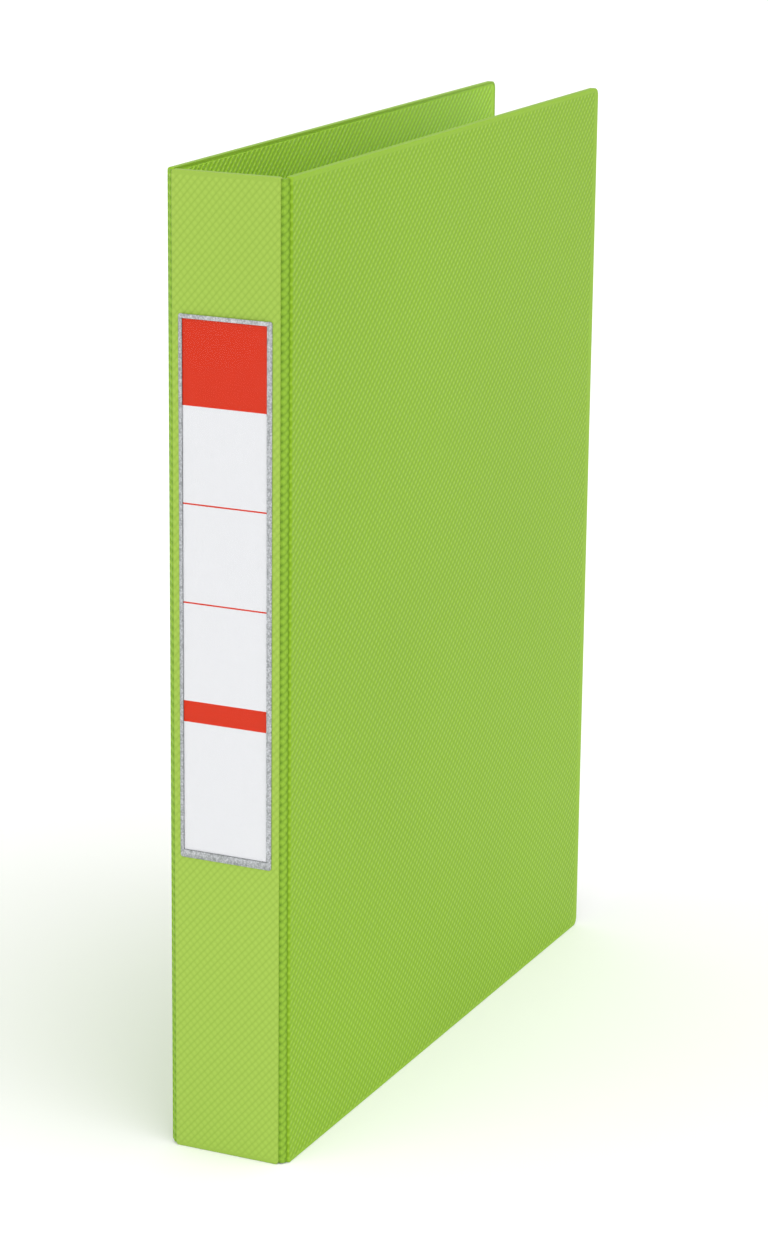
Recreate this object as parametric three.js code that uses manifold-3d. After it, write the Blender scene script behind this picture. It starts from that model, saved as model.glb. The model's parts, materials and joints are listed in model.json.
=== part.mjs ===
// A4 ring binder: foil-covered board covers and spine, creased hinges, a label pocket on the spine,
// and a four-ring mechanism riveted to the rear cover. Millimetres, +Z up, standing upright.
// The spine faces -Y, the front cover faces +X, and the origin is the centre of the footprint.
import * as THREE from 'three';
import { mergeVertices } from 'three/addons/utils/BufferGeometryUtils.js';
import Module from 'manifold-3d';

// Overall sizes of the closed binder
const binderHeight = 318;
const spineWidth = 42.4;
const binderDepth = 250;

// Panels: outer foil, board and inner foil
const foilThickness = 0.35;
const boardThickness = 1.4;
const foilEdge = 0.7;
const restGap = 0.05;
const fitGap = 0.3;
const farCornerRadius = 2.8;
const creaseCornerRadius = 1.4;

// Creased hinges between the spine and the covers
const creaseWidth = 2.8;
const creaseInset = 0.3;
const beadThickness = 1.0;
const beadEndGap = 0.3;
const beadShortfall = 1.2;

// Label pocket and card on the spine
const cardWidth = 29.2;
const cardHeight = 170.6;
const cardThickness = 0.3;
const cardBottom = 102.3;
const pocketBorder = 1.2;
const pocketBottomBorder = 2.5;
const pocketTopEdge = 1.4;
const pocketFilm = 0.25;
const cardPlay = 0.2;

// Ring mechanism: where it stands on the rear cover
const mechanismFromSpine = 26;
const ringCount = 4;
const ringPitch = 80;
const rivetPitch = 160;

// Housing of arched sheet steel
const housingWidth = 28;
const housingLength = 272;
const housingHeight = 8.6;
const housingSheet = 0.8;
const housingLift = 0.1;
const hookReach = 1.9;
const hookRise = 1.8;

// Rails that carry the ring halves
const railThickness = 1.2;
const railHookGap = 0.43;
const railWallGap = 0.5;
const railOverhang = 0.4;
const railClosedTilt = 6;
const ringOpenAngle = 18;
const railTriggerGap = 3.5;

// Rings: a straight leg away from the spine and a curved leg towards it
const wireDiameter = 3.0;
const wireSides = 8;
const wireSteps = 24;
const ringRootFromPivot = 1.6;
const ringLegX = 14;
const ringTopRoom = 5.5;
const ringTipX = -4;
const ringTailLength = 0.3;
const ringStraightRise = 0.4;
const flareRadius = 6;
const straightCornerRadius = 6;
const curvedCornerRadius = 14;

// Rivets through the housing crown and the rear cover
const rivetShankRadius = 2.4;
const rivetHeadRadius = 5.0;
const rivetHeadHeight = 1.0;
const rivetFlareRadius = 3.6;
const rivetFlareHeight = 0.6;

// Opening triggers at both ends of the housing
const triggerFromEnd = 3.5;
const triggerHubRadius = 1.8;
const triggerStubRadius = 1.2;
const tongueOverlap = 4.2;
const tongueHalfWidth = 2.6;
const tongueThickness = 0.9;
const tongueGap = 0.48;
const armHalfWidth = 3.4;
const armReach = 6.0;
const armRise = 6.6;
const tabReach = 3.4;
const tabRise = 7.4;
const tabHalfWidth = 7.5;
const tabThickness = 1.4;

// Derived sizes
const panelThickness = 2 * foilThickness + boardThickness + 2 * restGap;
const coverLength = binderDepth - creaseWidth;
const spinePanelWidth = spineWidth - 2 * creaseWidth;
const housingHalf = housingLength / 2;
const triggerPivotZ = housingHalf - triggerFromEnd;
const railHalf = triggerPivotZ - railTriggerGap;
const pocketProud = restGap + cardPlay + cardThickness + pocketFilm;
const rivetProud = restGap + rivetHeadHeight;

// The mechanism is drawn with x towards the spine, y away from the rear cover and z up
const closedTilt = THREE.MathUtils.degToRad(railClosedTilt);
const openTurn = THREE.MathUtils.degToRad(ringOpenAngle);
const crownRise = housingHeight - housingLift;
const crownRadius = ((housingWidth / 2) ** 2 + crownRise ** 2) / (2 * crownRise);
const crownInnerRadius = crownRadius - housingSheet;
const crownCentreY = housingHeight - crownRadius;
const hookTop = housingLift + hookRise + housingSheet * Math.SQRT1_2;
const railPivotY = hookTop + railHookGap + railThickness / 2;
const railPivotX = crownX(crownInnerRadius, railPivotY + railThickness / 2) - railOverhang - railWallGap;
const railReach = railPivotX - fitGap / 2;
const railLowest = railPivotY - railReach * Math.sin(closedTilt) - railThickness / 2;
const ringRootX = railPivotX - ringRootFromPivot;
const ringRootY = railPivotY - ringRootFromPivot * Math.sin(closedTilt) - railThickness / 2 - ringTailLength;
const ringTopY = spineWidth - 2 * panelThickness - ringTopRoom;
const ringFlareStart = housingHeight + ringStraightRise;
const ringFlareEnd = ringFlareStart + ringLegX - ringRootX;
const triggerPivotY = hookTop + fitGap + triggerStubRadius;
const triggerStubHalf = crownX(crownRadius, triggerPivotY) - fitGap;
const tongueTop = railLowest - tongueGap;
const tongueReach = railTriggerGap + tongueOverlap;

const wasm = await Module();
wasm.setup();

// Closed three.js geometry to a solid, and back
function toSolid(geometry) {
  const bare = geometry.clone();
  bare.deleteAttribute('normal');
  bare.deleteAttribute('uv');
  const merged = mergeVertices(bare, 1e-4);
  return new wasm.Manifold(new wasm.Mesh({
    numProp: 3,
    vertProperties: merged.attributes.position.array,
    triVerts: new Uint32Array(merged.index.array),
  }));
}

function toGeometry(solid) {
  const mesh = solid.getMesh();
  const geometry = new THREE.BufferGeometry();
  geometry.setAttribute('position', new THREE.BufferAttribute(mesh.vertProperties, 3));
  geometry.setIndex(new THREE.BufferAttribute(mesh.triVerts, 1));
  geometry.computeVertexNormals();
  return geometry;
}

function cut(geometry, ...cutters) {
  let solid = toSolid(geometry);
  for (const cutter of cutters) {
    solid = solid.subtract(toSolid(cutter));
  }
  return toGeometry(solid);
}

function join(geometry, ...others) {
  let solid = toSolid(geometry);
  for (const other of others) {
    solid = solid.add(toSolid(other));
  }
  return toGeometry(solid);
}

function extrude(shape, depth, from = 0) {
  const geometry = new THREE.ExtrudeGeometry(shape, { depth, bevelEnabled: false, curveSegments: 5 });
  return geometry.translate(0, 0, from);
}

// Rectangle with one radius at its low-x corners and another at its high-x corners
function roundedRectangle(x0, x1, y0, y1, lowRadius, highRadius) {
  const shape = new THREE.Shape();
  shape.moveTo(x0 + lowRadius, y0);
  shape.lineTo(x1 - highRadius, y0);
  shape.absarc(x1 - highRadius, y0 + highRadius, highRadius, -Math.PI / 2, 0, false);
  shape.lineTo(x1, y1 - highRadius);
  shape.absarc(x1 - highRadius, y1 - highRadius, highRadius, 0, Math.PI / 2, false);
  shape.lineTo(x0 + lowRadius, y1);
  shape.absarc(x0 + lowRadius, y1 - lowRadius, lowRadius, Math.PI / 2, Math.PI, false);
  shape.lineTo(x0, y0 + lowRadius);
  shape.absarc(x0 + lowRadius, y0 + lowRadius, lowRadius, Math.PI, 1.5 * Math.PI, false);
  return shape;
}

function polygon(points) {
  return new THREE.Shape(points.map(([x, y]) => new THREE.Vector2(x, y)));
}

function steel(color, roughness) {
  return new THREE.MeshStandardMaterial({ color, roughness, metalness: 1.0 });
}

function sheet(color, roughness) {
  return new THREE.MeshStandardMaterial({ color, roughness, metalness: 0.0 });
}

function addPiece(group, name, geometry, material) {
  const mesh = new THREE.Mesh(geometry, material);
  mesh.name = name;
  group.add(mesh);
}

// Each panel is drawn with x across it, y up from its mid-height and z from its inner face outwards
function framedGroup(across, up, outwards, origin) {
  const group = new THREE.Group();
  const basis = new THREE.Matrix4().makeBasis(across, up, outwards);
  group.quaternion.setFromRotationMatrix(basis);
  group.position.copy(origin);
  return group;
}

function panelOutline(width, inset, nearRadius, farRadius) {
  const half = binderHeight / 2 - inset;
  const near = Math.max(nearRadius - inset, 0.2);
  const far = Math.max(farRadius - inset, 0.2);
  return roundedRectangle(inset, width - inset, -half, half, near, far);
}

function rivetHoles() {
  return [-1, 1].map((side) => {
    const hole = new THREE.CylinderGeometry(
      rivetShankRadius + fitGap, rivetShankRadius + fitGap, 4 * panelThickness, 16);
    hole.rotateX(Math.PI / 2);
    return hole.translate(mechanismFromSpine - creaseWidth, side * rivetPitch / 2, 0);
  });
}

// Outer foil wraps the board's edges as a shallow tray; the inner foil closes it flush
function addPanel(group, prefix, width, nearRadius, farRadius, holes) {
  const outer = extrude(panelOutline(width, 0, nearRadius, farRadius), panelThickness);
  const hollow = extrude(
    panelOutline(width, foilEdge, nearRadius, farRadius), panelThickness, -foilThickness);
  const inside = panelOutline(width, foilEdge + restGap, nearRadius, farRadius);
  const board = extrude(inside, boardThickness, foilThickness + restGap);
  const lining = extrude(inside, foilThickness);
  addPiece(group, `${prefix}_outer_foil`, cut(outer, hollow, ...holes), sheet('#9cc64a', 0.5));
  addPiece(group, `${prefix}_board`, cut(board, ...holes), sheet('#8d8a80', 0.9));
  addPiece(group, `${prefix}_inner_foil`, cut(lining, ...holes), sheet('#8bbf40', 0.5));
}

function frontCover() {
  const origin = new THREE.Vector3(spineWidth / 2 - panelThickness, creaseWidth, binderHeight / 2);
  const group = framedGroup(
    new THREE.Vector3(0, 1, 0), new THREE.Vector3(0, 0, 1), new THREE.Vector3(1, 0, 0), origin);
  addPanel(group, 'front', coverLength, creaseCornerRadius, farCornerRadius, []);
  return group;
}

function rearCover() {
  const origin = new THREE.Vector3(panelThickness - spineWidth / 2, creaseWidth, binderHeight / 2);
  const group = framedGroup(
    new THREE.Vector3(0, 1, 0), new THREE.Vector3(0, 0, -1), new THREE.Vector3(-1, 0, 0), origin);
  addPanel(group, 'rear', coverLength, creaseCornerRadius, farCornerRadius, rivetHoles());
  return group;
}

// Film welded along both sides and the bottom, open at the top for the card
function labelPocket() {
  const halfWidth = cardWidth / 2 + cardPlay + pocketBorder;
  const low = cardBottom - cardPlay - pocketBottomBorder;
  const high = cardBottom + cardHeight + pocketTopEdge;
  const shell = extrude(
    roundedRectangle(-halfWidth, halfWidth, low, high, 0.8, 0.8), pocketProud - restGap);
  const slot = new THREE.BoxGeometry(
    cardWidth + 2 * cardPlay, cardHeight + 2 * pocketTopEdge + cardPlay, 2 * (cardThickness + cardPlay));
  slot.translate(0, cardBottom - cardPlay + (cardHeight + 2 * pocketTopEdge + cardPlay) / 2, 0);
  return cut(shell, slot);
}

function labelCard() {
  const shape = roundedRectangle(
    -cardWidth / 2, cardWidth / 2, cardBottom, cardBottom + cardHeight, 0.3, 0.3);
  return extrude(shape, cardThickness, cardPlay / 2);
}

function spine() {
  const group = framedGroup(
    new THREE.Vector3(1, 0, 0), new THREE.Vector3(0, 0, 1), new THREE.Vector3(0, -1, 0),
    new THREE.Vector3(-spinePanelWidth / 2, panelThickness, binderHeight / 2));
  addPanel(group, 'spine', spinePanelWidth, creaseCornerRadius, creaseCornerRadius, []);
  const labelling = framedGroup(
    new THREE.Vector3(1, 0, 0), new THREE.Vector3(0, 1, 0), new THREE.Vector3(0, 0, 1),
    new THREE.Vector3(spinePanelWidth / 2, -binderHeight / 2, panelThickness + restGap));
  addPiece(labelling, 'label_pocket', labelPocket(), sheet('#c9ced0', 0.2));
  addPiece(labelling, 'label_card', labelCard(), sheet('#eceef1', 0.7));
  group.add(labelling);
  return group;
}

// Welded bead between the two creases of one hinge, set at 45 degrees across the corner
function hingeStrip(name, side) {
  const centreLow = panelThickness / 2;
  const centreHigh = creaseWidth - creaseInset;
  const middle = (centreLow + centreHigh) / 2;
  const creaseToCrease = (centreHigh - centreLow) * Math.SQRT2;
  const half = creaseToCrease / 2 - beadEndGap;
  const rim = beadThickness * 0.3;
  const section = polygon([
    [-half, -beadThickness / 2 + rim], [-half + rim, -beadThickness / 2],
    [half - rim, -beadThickness / 2], [half, -beadThickness / 2 + rim],
    [half, beadThickness / 2 - rim], [half - rim, beadThickness / 2],
    [-half + rim, beadThickness / 2], [-half, beadThickness / 2 - rim],
  ]);
  const strip = extrude(section, binderHeight - 2 * beadShortfall, beadShortfall);
  const group = new THREE.Group();
  group.position.set(side * (spineWidth / 2 - middle), middle, 0);
  group.rotation.z = side * Math.PI / 4;
  addPiece(group, name, strip, sheet('#86b23c', 0.5));
  return group;
}

// Half-width of the crown's arc at one height
function crownX(radius, y) {
  return Math.sqrt(radius ** 2 - (y - crownCentreY) ** 2);
}

function housingSection() {
  const inner = crownInnerRadius;
  const low = housingLift;
  const shelf = housingLift + housingSheet;
  const outerAngle = Math.atan2(low - crownCentreY, housingWidth / 2);
  const innerAngle = Math.atan2(shelf - crownCentreY, crownX(inner, shelf));
  const hookX = crownX(inner, shelf) - housingSheet / 2;
  const tipX = hookX - hookReach;
  const tipY = low + hookRise;
  const skew = housingSheet * Math.SQRT1_2;
  const shape = new THREE.Shape();
  shape.moveTo(housingWidth / 2, low);
  shape.absarc(0, crownCentreY, crownRadius, outerAngle, Math.PI - outerAngle, false);
  shape.lineTo(-hookX, low);
  shape.lineTo(-tipX, tipY);
  shape.lineTo(-tipX - skew, tipY + skew);
  shape.lineTo(-hookX - housingSheet / 2, shelf);
  shape.absarc(0, crownCentreY, inner, Math.PI - innerAngle, innerAngle, true);
  shape.lineTo(hookX + housingSheet / 2, shelf);
  shape.lineTo(tipX + skew, tipY + skew);
  shape.lineTo(tipX, tipY);
  shape.lineTo(hookX, low);
  return shape;
}

function ringHeights() {
  const first = -ringPitch * (ringCount - 1) / 2;
  return Array.from({ length: ringCount }, (_, index) => first + index * ringPitch);
}

// Slot for one ring leg: the wire in its closed place, swept as far as it leans when open
function ringSlot(side, z) {
  const radius = wireDiameter / 2 + fitGap;
  const lean = (housingHeight - railPivotY) * Math.sin(openTurn);
  const low = ringRootX - radius;
  const high = ringRootX + lean + radius;
  const shape = roundedRectangle(low, high, -radius, radius, radius * 0.98, radius * 0.98);
  const slot = extrude(shape, housingHeight, 0);
  slot.rotateX(-Math.PI / 2);
  slot.translate(0, hookTop + restGap, 0);
  if (side < 0) {
    slot.rotateY(Math.PI);
  }
  return slot.translate(0, 0, z);
}

function ringHousing() {
  const shell = extrude(housingSection(), housingLength, -housingHalf);
  const cutters = [];
  for (const z of ringHeights()) {
    cutters.push(ringSlot(-1, z), ringSlot(1, z));
  }
  for (const end of [-1, 1]) {
    const rivetHole = new THREE.CylinderGeometry(
      rivetShankRadius + fitGap, rivetShankRadius + fitGap, 2 * housingSheet + 1, 16);
    cutters.push(rivetHole.translate(0, housingHeight, end * rivetPitch / 2));
    const stubHole = new THREE.CylinderGeometry(
      triggerStubRadius + fitGap, triggerStubRadius + fitGap, 2 * housingWidth, 14);
    stubHole.rotateZ(Math.PI / 2);
    cutters.push(stubHole.translate(0, triggerPivotY, end * triggerPivotZ));
    const notchLength = 2 * triggerFromEnd;
    const notch = new THREE.BoxGeometry(2 * (armHalfWidth + fitGap) + 1, housingHeight, notchLength);
    cutters.push(notch.translate(0, housingHeight, end * housingHalf));
  }
  return cut(shell, ...cutters);
}

// One rail in its closed place, tilted about the pivot line at its outer edge
function rail(side) {
  const plate = polygon([
    [-railReach, -railThickness / 2], [railOverhang, -railThickness / 2],
    [railOverhang, railThickness / 2], [-railReach, railThickness / 2],
  ]);
  const blank = extrude(plate, 2 * railHalf, -railHalf);
  blank.rotateZ(closedTilt);
  blank.translate(railPivotX, railPivotY, 0);
  const cutters = ringHeights().map((z) => {
    const hole = new THREE.CylinderGeometry(
      wireDiameter / 2 + fitGap, wireDiameter / 2 + fitGap, 4 * railThickness, 12);
    return hole.translate(ringRootX, railPivotY, z);
  });
  for (const end of [-1, 1]) {
    const notch = new THREE.CylinderGeometry(
      rivetShankRadius + 3 * fitGap, rivetShankRadius + 3 * fitGap, 6 * railThickness, 16);
    cutters.push(notch.translate(0, railPivotY, end * rivetPitch / 2));
  }
  const shaped = cut(blank, ...cutters);
  return side < 0 ? shaped.rotateY(Math.PI) : shaped;
}

// Path of straight runs with curved corners, each corner a quadratic curve a radius from its point
function roundedPath(points, radii) {
  const path = new THREE.CurvePath();
  const at = points.map(([x, y]) => new THREE.Vector3(x, y, 0));
  let from = at[0];
  for (let index = 1; index < at.length - 1; index += 1) {
    const corner = at[index];
    const before = at[index - 1].clone().sub(corner).normalize();
    const after = at[index + 1].clone().sub(corner).normalize();
    const turn = Math.PI - before.angleTo(after);
    const setBack = radii[index - 1] * Math.tan(turn / 2);
    const start = corner.clone().addScaledVector(before, setBack);
    const end = corner.clone().addScaledVector(after, setBack);
    path.add(new THREE.LineCurve3(from, start));
    const pull = (4 / 3) * Math.tan(turn / 4) * radii[index - 1];
    path.add(new THREE.CubicBezierCurve3(
      start, start.clone().addScaledVector(before, -pull),
      end.clone().addScaledVector(after, -pull), end));
    from = end;
  }
  path.add(new THREE.LineCurve3(from, at[at.length - 1]));
  return path;
}

function wireSection() {
  const shape = new THREE.Shape();
  shape.absarc(0, 0, wireDiameter / 2, 0, 2 * Math.PI, false);
  return shape;
}

function ringHalf(side) {
  const tip = side > 0 ? ringTipX + fitGap / 2 : ringTipX - fitGap / 2;
  const path = roundedPath([
    [side * ringRootX, ringRootY],
    [side * ringRootX, ringFlareStart],
    [side * ringLegX, ringFlareEnd],
    [side * ringLegX, ringTopY],
    [tip, ringTopY],
  ], [flareRadius, flareRadius, side > 0 ? curvedCornerRadius : straightCornerRadius]);
  return new THREE.ExtrudeGeometry(wireSection(), {
    steps: wireSteps,
    curveSegments: wireSides / 2,
    extrudePath: path,
  });
}

// Turned along y from the domed head outside the rear cover to the flared end on the crown
function rivet() {
  const headSeat = -panelThickness - restGap;
  const headTop = headSeat - rivetHeadHeight;
  const crownSeat = housingHeight + restGap;
  const crownEnd = crownSeat + rivetFlareHeight;
  const profile = [
    [0, headTop],
    [rivetHeadRadius * 0.5, headTop + rivetHeadHeight * 0.12],
    [rivetHeadRadius * 0.85, headTop + rivetHeadHeight * 0.45],
    [rivetHeadRadius, headSeat - rivetHeadHeight * 0.15],
    [rivetHeadRadius, headSeat],
    [rivetShankRadius, headSeat],
    [rivetShankRadius, crownSeat],
    [rivetFlareRadius, crownSeat],
    [rivetFlareRadius, crownEnd - rivetFlareHeight * 0.4],
    [rivetFlareRadius * 0.85, crownEnd],
    [rivetShankRadius * 0.7, crownEnd],
    [rivetShankRadius * 0.45, crownEnd - 1.5],
    [0, crownEnd - 1.5],
  ];
  return new THREE.LatheGeometry(profile.map(([x, y]) => new THREE.Vector2(x, y)), 16);
}

// Bent lever drawn in side view with its pivot at the origin, x outwards along the housing
function triggerLever() {
  const across = (halfWidth, points) => {
    const geometry = extrude(polygon(points), 2 * halfWidth, -halfWidth);
    return geometry.rotateY(-Math.PI / 2);
  };
  const low = tongueTop - tongueThickness - triggerPivotY;
  const high = tongueTop - triggerPivotY;
  const tongue = across(tongueHalfWidth, [
    [-tongueReach, low], [triggerHubRadius * 0.4, low], [triggerHubRadius * 0.8, -0.3],
    [-triggerHubRadius * 0.8, -0.3], [-triggerHubRadius, high], [-tongueReach, high],
  ]);
  const half = tabThickness / 2;
  const arm = across(armHalfWidth, [
    [-half, half], [half, -half], [armReach + half, armRise - half],
    [armReach + 0.4 * tabReach + half, armRise + 0.3 * tabRise], [armReach - half, armRise + half],
  ]);
  const tab = across(tabHalfWidth, [
    [armReach - half, armRise - 0.2], [armReach + half, armRise - 0.2],
    [armReach + 0.5 * tabReach + half, armRise + 0.45 * tabRise],
    [armReach + tabReach + half, armRise + tabRise],
    [armReach + tabReach - half, armRise + tabRise],
    [armReach + 0.5 * tabReach - half, armRise + 0.45 * tabRise],
  ]);
  const hub = new THREE.CylinderGeometry(triggerHubRadius, triggerHubRadius, 2 * armHalfWidth, 16);
  const stub = new THREE.CylinderGeometry(
    triggerStubRadius, triggerStubRadius, 2 * triggerStubHalf, 14);
  return join(hub.rotateZ(Math.PI / 2), stub.rotateZ(Math.PI / 2), tongue, arm, tab);
}

function trigger(end) {
  const lever = triggerLever();
  if (end < 0) {
    lever.rotateY(Math.PI);
  }
  return lever.translate(0, triggerPivotY, end * triggerPivotZ);
}

function mechanism() {
  const group = new THREE.Group();
  group.position.set(panelThickness - spineWidth / 2, mechanismFromSpine, binderHeight / 2);
  group.rotation.z = -Math.PI / 2;
  addPiece(group, 'ring_housing', ringHousing(), steel('#c8c9cb', 0.28));
  addPiece(group, 'rail_spine_side', rail(1), steel('#b9babc', 0.35));
  addPiece(group, 'rail_open_side', rail(-1), steel('#b9babc', 0.35));
  ringHeights().forEach((z, index) => {
    const number = index + 1;
    addPiece(group, `ring_curved_half_${number}`, ringHalf(1).translate(0, 0, z), steel('#cfd0d2', 0.2));
    addPiece(group, `ring_straight_half_${number}`, ringHalf(-1).translate(0, 0, z), steel('#cfd0d2', 0.2));
  });
  for (const [end, place] of [[-1, 'bottom'], [1, 'top']]) {
    const atRivet = rivet().translate(0, 0, end * rivetPitch / 2);
    addPiece(group, `rivet_${place}`, atRivet, steel('#c4c5c7', 0.3));
    addPiece(group, `opening_trigger_${place}`, trigger(end), steel('#c8c9cb', 0.28));
  }
  return group;
}

// The whole binder, moved so that the middle of its footprint is the origin
function ringBinder() {
  const group = new THREE.Group();
  group.name = 'ring_binder';
  group.position.set(rivetProud / 2, (pocketProud - binderDepth) / 2, 0);
  group.add(spine());
  group.add(hingeStrip('front_hinge_strip', 1));
  group.add(hingeStrip('rear_hinge_strip', -1));
  group.add(frontCover());
  group.add(rearCover());
  group.add(mechanism());
  return group;
}

const binder = ringBinder();

export default binder;
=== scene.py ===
import json
import math

import bmesh
import bpy
from mathutils import Matrix, Vector


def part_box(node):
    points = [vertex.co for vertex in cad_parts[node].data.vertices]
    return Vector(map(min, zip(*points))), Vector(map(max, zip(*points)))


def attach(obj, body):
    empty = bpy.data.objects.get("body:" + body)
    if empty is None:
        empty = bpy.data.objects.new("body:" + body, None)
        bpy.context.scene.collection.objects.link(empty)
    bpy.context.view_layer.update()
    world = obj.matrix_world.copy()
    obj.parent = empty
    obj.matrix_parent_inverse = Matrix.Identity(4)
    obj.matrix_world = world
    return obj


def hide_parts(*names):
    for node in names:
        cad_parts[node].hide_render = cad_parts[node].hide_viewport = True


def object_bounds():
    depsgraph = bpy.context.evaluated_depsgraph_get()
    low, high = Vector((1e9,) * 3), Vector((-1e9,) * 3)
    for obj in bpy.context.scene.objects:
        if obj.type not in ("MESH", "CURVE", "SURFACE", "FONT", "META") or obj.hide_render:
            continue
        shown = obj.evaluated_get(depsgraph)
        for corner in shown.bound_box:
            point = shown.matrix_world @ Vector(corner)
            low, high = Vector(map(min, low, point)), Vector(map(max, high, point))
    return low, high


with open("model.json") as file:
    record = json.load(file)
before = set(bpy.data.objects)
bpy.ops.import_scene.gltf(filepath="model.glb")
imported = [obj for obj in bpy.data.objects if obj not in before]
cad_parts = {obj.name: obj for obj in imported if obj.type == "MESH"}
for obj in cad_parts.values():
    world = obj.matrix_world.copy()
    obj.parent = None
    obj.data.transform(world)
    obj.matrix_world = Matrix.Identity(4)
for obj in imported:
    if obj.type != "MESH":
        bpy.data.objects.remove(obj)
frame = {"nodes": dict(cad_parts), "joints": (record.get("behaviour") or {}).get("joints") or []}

mm = 0.001
cadLow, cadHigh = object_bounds()
joints = {joint["name"]: joint for joint in frame["joints"]}


# sRGB hex to the linear colour that shaders take
def linear(hexCode):
    channels = [int(hexCode[i:i + 2], 16) / 255 for i in (1, 3, 5)]
    return [c / 12.92 if c <= 0.04045 else ((c + 0.055) / 1.055) ** 2.4 for c in channels] + [1.0]


# one node with its settings, values and links
def addNode(tree, kind, inputs=None, **settings):
    made = tree.nodes.new(kind)
    for key, value in settings.items():
        setattr(made, key, value)
    for key, value in (inputs or {}).items():
        if isinstance(value, bpy.types.NodeSocket):
            tree.links.new(value, made.inputs[key])
        else:
            made.inputs[key].default_value = value
    return made


# a material whose uniform values stand on the shader itself
def newMaterial(name, **sockets):
    material = bpy.data.materials.new(name)
    material.use_nodes = True
    shader = material.node_tree.nodes["Principled BSDF"]
    for key, value in sockets.items():
        shader.inputs[key.replace("_", " ")].default_value = value
    return material, material.node_tree, shader


# ---- camera, floor and light

stageSet = {
    "eye": Vector((0.49267, -1.07674, 0.47664)),
    "yaw": 24.71, "pitch": 15.645, "roll": 0.63, "lens": 102.6,
    "floorSize": 16.0, "floorColours": ("#FCFCFB", "#FEFEFE"),
    "skyStrength": 0.7,
    "suns": {  # direction of each soft lamp from the object, strength and spread in degrees
        "cover_lamp": (Vector((0.55, -0.45, 0.7)), 0.95, 80),
        "top_lamp": (Vector((0.6, 0.1, 0.8)), 0.7, 90),
        "spine_lamp": (Vector((-0.5, -0.8, 0.33)), 0.8, 60),
    },
}


def makeStage():
    camera = bpy.data.objects.new("camera", bpy.data.cameras.new("camera"))
    camera.data.lens = stageSet["lens"]
    camera.data.clip_start = 0.05
    turn = Matrix.Rotation(math.radians(stageSet["yaw"]), 4, "Z")
    tip = Matrix.Rotation(math.radians(90 - stageSet["pitch"]), 4, "X")
    lean = Matrix.Rotation(math.radians(stageSet["roll"]), 4, "Z")
    camera.matrix_world = Matrix.Translation(stageSet["eye"]) @ turn @ tip @ lean
    bpy.context.scene.collection.objects.link(camera)
    bpy.context.scene.camera = camera

    # matt paper without gloss, so the floor keeps its white towards the horizon
    material, tree, shader = newMaterial("paper_sweep_matt", Roughness=1.0, Specular_IOR_Level=0.0)
    place = addNode(tree, "ShaderNodeTexCoord")
    cloud = addNode(tree, "ShaderNodeTexNoise", {"Vector": place.outputs["Object"], "Scale": 2.0})
    low, high = stageSet["floorColours"]
    tint = addNode(tree, "ShaderNodeMix", {"Factor": cloud.outputs["Fac"], 6: linear(low),
                                           7: linear(high)}, data_type="RGBA")
    tree.links.new(tint.outputs[2], shader.inputs["Base Color"])
    bm = bmesh.new()
    bmesh.ops.create_grid(bm, x_segments=1, y_segments=1, size=stageSet["floorSize"] / 2)
    mesh = bpy.data.meshes.new("floor")
    bm.to_mesh(mesh)
    bm.free()
    mesh.materials.append(material)
    floor = bpy.data.objects.new("floor", mesh)
    bpy.context.scene.collection.objects.link(floor)

    world = bpy.data.worlds.new("studio")
    world.use_nodes = True
    backdrop = world.node_tree.nodes["Background"]
    backdrop.inputs["Color"].default_value = (1, 1, 1, 1)
    backdrop.inputs["Strength"].default_value = stageSet["skyStrength"]
    bpy.context.scene.world = world
    bpy.context.scene.view_settings.view_transform = "Standard"

    for name, (direction, strength, spread) in stageSet["suns"].items():
        light = bpy.data.lights.new(name, "SUN")
        light.energy = strength
        light.angle = math.radians(spread)
        lamp = bpy.data.objects.new(name, light)
        lamp.rotation_euler = direction.to_track_quat("Z", "Y").to_euler()
        bpy.context.scene.collection.objects.link(lamp)


makeStage()
print("camera, floor and lights stand")


# ---- materials

emboss = {
    "cellHeight": 2.76 * mm,  # the grooves repeat this far upwards
    "depth": 0.15 * mm,
    "ridges": (1.6, 1.2),     # main and crossing rows of cells: higher is narrower
    "flatLevel": 0.42,         # height and tone of the margin that the welding bar pressed flat
    "topMargin": 1.1 * mm, "farMargin": 3.4 * mm, "marginEdge": 0.5 * mm,
}


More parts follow.
